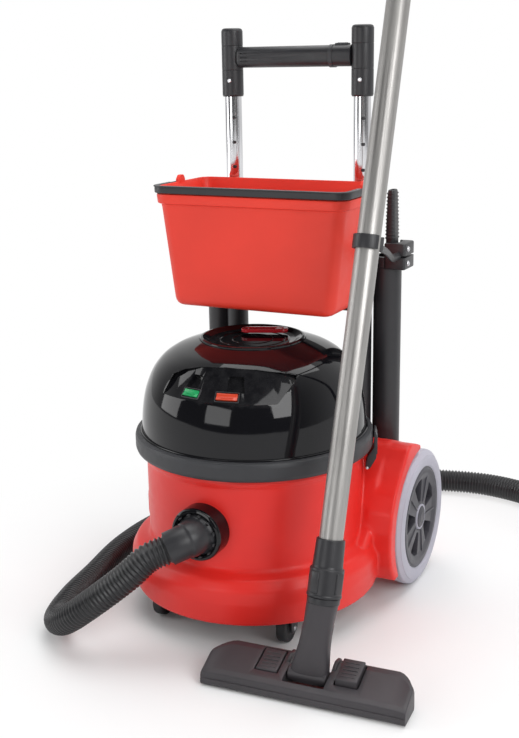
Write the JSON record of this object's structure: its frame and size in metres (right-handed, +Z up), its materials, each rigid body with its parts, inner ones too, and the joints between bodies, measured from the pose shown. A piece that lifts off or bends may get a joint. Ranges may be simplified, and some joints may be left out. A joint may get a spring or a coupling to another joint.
{
  "type": "trolley tub vacuum cleaner",
  "caption": "Commercial tub vacuum cleaner on a wheeled trolley with a telescopic handle, lift-off caddy, hose, wand and floor tool.",
  "frame": {"origin": "on the floor, below the middle of the footprint of the machine, its wheels and the parked floor tool; the free hose is left out", "axes": "+Z up, the tub's suction inlet faces -Y, the parked wand and floor tool stand towards +X"},
  "size_m": [0.9255, 0.8749, 1.2569],
  "materials": {
    "red_plastic": "glossy moulded red",
    "gloss_black": "polished black",
    "matte_black": "satin black",
    "black_rubber": "matt",
    "grey_tyre": "matt light grey",
    "dark_grey_hub": "satin dark grey",
    "anodised_aluminium": "satin anodised",
    "chrome_tube": "bright",
    "zinc_steel": "bright zinc",
    "green_plastic": "glossy",
    "orange_red_plastic": "glossy",
    "filter_cloth": "woven",
    "hose_plastic": "ribbed black"
  },
  "bodies": {
    "chassis": {"body_shell": "red_plastic", "arch_left": "red_plastic", "arch_right": "red_plastic", "base_plate": "matte_black", "inlet_ring": "gloss_black", "filter_bag": "filter_cloth", "cloth_filter": "filter_cloth", "stub_axle_left": "zinc_steel", "stub_axle_right": "zinc_steel", "sleeve_left": "matte_black", "sleeve_right": "matte_black", "dock_tube_left": "matte_black", "dock_tube_right": "matte_black", "clip_block": "matte_black", "wand_clip": "matte_black", "caddy_bracket": "matte_black", "hose_cuff_machine": "hose_plastic", "hose_tube": "hose_plastic"},
    "wheel_left": {"tyre_left": "grey_tyre", "hub_left": "dark_grey_hub", "hub_cap_left": "dark_grey_hub"},
    "wheel_right": {"tyre_right": "grey_tyre", "hub_right": "dark_grey_hub", "hub_cap_right": "dark_grey_hub"},
    "caster_left": {"caster_fork_left": "matte_black", "caster_pin_left": "zinc_steel"},
    "caster_left_roll": {"caster_wheel_left": "black_rubber"},
    "caster_right": {"caster_fork_right": "matte_black", "caster_pin_right": "zinc_steel"},
    "caster_right_roll": {"caster_wheel_right": "black_rubber"},
    "handle": {"inner_tube_left": "chrome_tube", "inner_tube_right": "chrome_tube", "grip_socket_left": "matte_black", "grip_socket_right": "matte_black", "crossbar": "matte_black"},
    "handle_button": {"release_button": "matte_black"},
    "caddy": {"caddy_bin": "red_plastic"},
    "bail": {"caddy_bail": "matte_black"},
    "head": {"head_dome": "gloss_black", "bumper_ring": "matte_black", "motor_housing": "matte_black", "cable_gland": "black_rubber"},
    "fan": {"fan_rotor": "zinc_steel"},
    "winder": {"winder_disc": "gloss_black"},
    "crank": {"winder_crank": "orange_red_plastic"},
    "power_switch": {"rocker_power": "green_plastic"},
    "speed_switch": {"rocker_speed": "orange_red_plastic"},
    "latch_left_lever": {"latch_left": "matte_black"},
    "latch_right_lever": {"latch_right": "matte_black"},
    "crevice": {"crevice_tool": "matte_black"},
    "wand": {"wand_tube": "anodised_aluminium", "wand_bend": "anodised_aluminium", "neck_socket": "matte_black", "hose_cuff_wand": "hose_plastic"},
    "neck": {"neck_lower": "matte_black"},
    "floor_tool": {"tool_body": "matte_black", "sole_plate": "zinc_steel"},
    "pedal": {"foot_pad_left": "matte_black", "foot_pad_right": "matte_black"},
    "brush": {"brush_strip": "black_rubber"}
  },
  "joints": [
    {"name": "wheel_left_spin", "type": "hinge", "parent": "chassis", "child": "wheel_left", "pos_m": [-0.25882, 0.16303, 0.108], "axis": [1, 0, 0], "continuous": true},
    {"name": "caster_left_swivel", "type": "hinge", "parent": "chassis", "child": "caster_left", "pos_m": [-0.16182, -0.09557, 0.055], "axis": [0, 0, 1], "continuous": true},
    {"name": "caster_left_spin", "type": "hinge", "parent": "caster_left", "child": "caster_left_roll", "pos_m": [-0.16182, -0.10957, 0.0225], "axis": [1, 0, 0], "continuous": true},
    {"name": "wheel_right_spin", "type": "hinge", "parent": "chassis", "child": "wheel_right", "pos_m": [0.14118, 0.16303, 0.108], "axis": [1, 0, 0], "continuous": true},
    {"name": "caster_right_swivel", "type": "hinge", "parent": "chassis", "child": "caster_right", "pos_m": [0.04418, -0.09557, 0.055], "axis": [0, 0, 1], "continuous": true},
    {"name": "caster_right_spin", "type": "hinge", "parent": "caster_right", "child": "caster_right_roll", "pos_m": [0.04418, -0.10957, 0.0225], "axis": [1, 0, 0], "continuous": true},
    {"name": "handle_slide", "type": "slide", "parent": "chassis", "child": "handle", "axis": [0, 0, 1], "range_m": [-0.165, 0]},
    {"name": "button_press", "type": "slide", "parent": "handle", "child": "handle_button", "axis": [0, 0, -1], "range_m": [0, 0.002], "stiffness_N_per_m": 400},
    {"name": "caddy_lift", "type": "slide", "parent": "chassis", "child": "caddy", "axis": [0, 0, 1], "range_m": [0, 0.1]},
    {"name": "bail_swing", "type": "hinge", "parent": "caddy", "child": "bail", "pos_m": [-0.05882, 0.06368, 0.63175], "axis": [-1, 0, 0], "range_deg": [0, 100]},
    {"name": "head_lift", "type": "slide", "parent": "chassis", "child": "head", "axis": [0, 0, 1], "range_m": [0, 0.02]},
    {"name": "fan_spin", "type": "hinge", "parent": "head", "child": "fan", "pos_m": [-0.05882, 0.00243, 0.32], "axis": [0, 0, 1], "continuous": true},
    {"name": "winder_spin", "type": "hinge", "parent": "head", "child": "winder", "pos_m": [-0.05882, 0.00243, 0.415], "axis": [0, 0, 1], "continuous": true},
    {"name": "crank_fold", "type": "hinge", "parent": "winder", "child": "crank", "pos_m": [-0.08482, 0.02643, 0.4223], "axis": [0.3746, -0.9272, 0], "range_deg": [0, 25]},
    {"name": "power_rock", "type": "hinge", "parent": "head", "child": "power_switch", "pos_m": [-0.08196, -0.14365, 0.3684], "axis": [0.9877, -0.1564, 0], "range_deg": [0, 14]},
    {"name": "speed_rock", "type": "hinge", "parent": "head", "child": "speed_switch", "pos_m": [-0.02681, -0.14197, 0.3684], "axis": [0.9763, 0.2164, 0], "range_deg": [0, 14]},
    {"name": "latch_left_swing", "type": "hinge", "parent": "chassis", "child": "latch_left_lever", "pos_m": [-0.21904, 0.06074, 0.2215], "axis": [-0.342, -0.9397, 0], "range_deg": [0, 40]},
    {"name": "latch_right_swing", "type": "hinge", "parent": "chassis", "child": "latch_right_lever", "pos_m": [0.1014, 0.06074, 0.2215], "axis": [-0.342, 0.9397, 0], "range_deg": [0, 40]},
    {"name": "crevice_slide", "type": "slide", "parent": "chassis", "child": "crevice", "axis": [0, 0, 1], "range_m": [0, 0.2]},
    {"name": "wand_lift", "type": "slide", "parent": "chassis", "child": "wand", "axis": [0.01, 0.295, 0.9554], "range_m": [0, 0.03], "deforming": ["hose_tube"]},
    {"name": "neck_swivel", "type": "hinge", "parent": "wand", "child": "neck", "pos_m": [0.14548, -0.19387, 0.1793], "axis": [0.01, 0.295, 0.9554], "range_deg": [-8, 75]},
    {"name": "tool_tilt", "type": "hinge", "parent": "neck", "child": "floor_tool", "pos_m": [0.1303, -0.22457, 0.0245], "axis": [0.9982, 0.0598, 0], "range_deg": [-20, 40]},
    {"name": "pedal_rock", "type": "hinge", "parent": "floor_tool", "child": "pedal", "pos_m": [0.13018, -0.22257, 0.026], "axis": [-0.0598, 0.9982, 0], "range_deg": [0, 5]},
    {"name": "brush_drop", "type": "slide", "parent": "floor_tool", "child": "brush", "axis": [0, 0, -1], "range_m": [0, 0.004]}
  ],
  "couplings": [
    {"joint": "brush_drop", "follows": "pedal_rock", "m_per_rad": 0.045837}
  ]
}
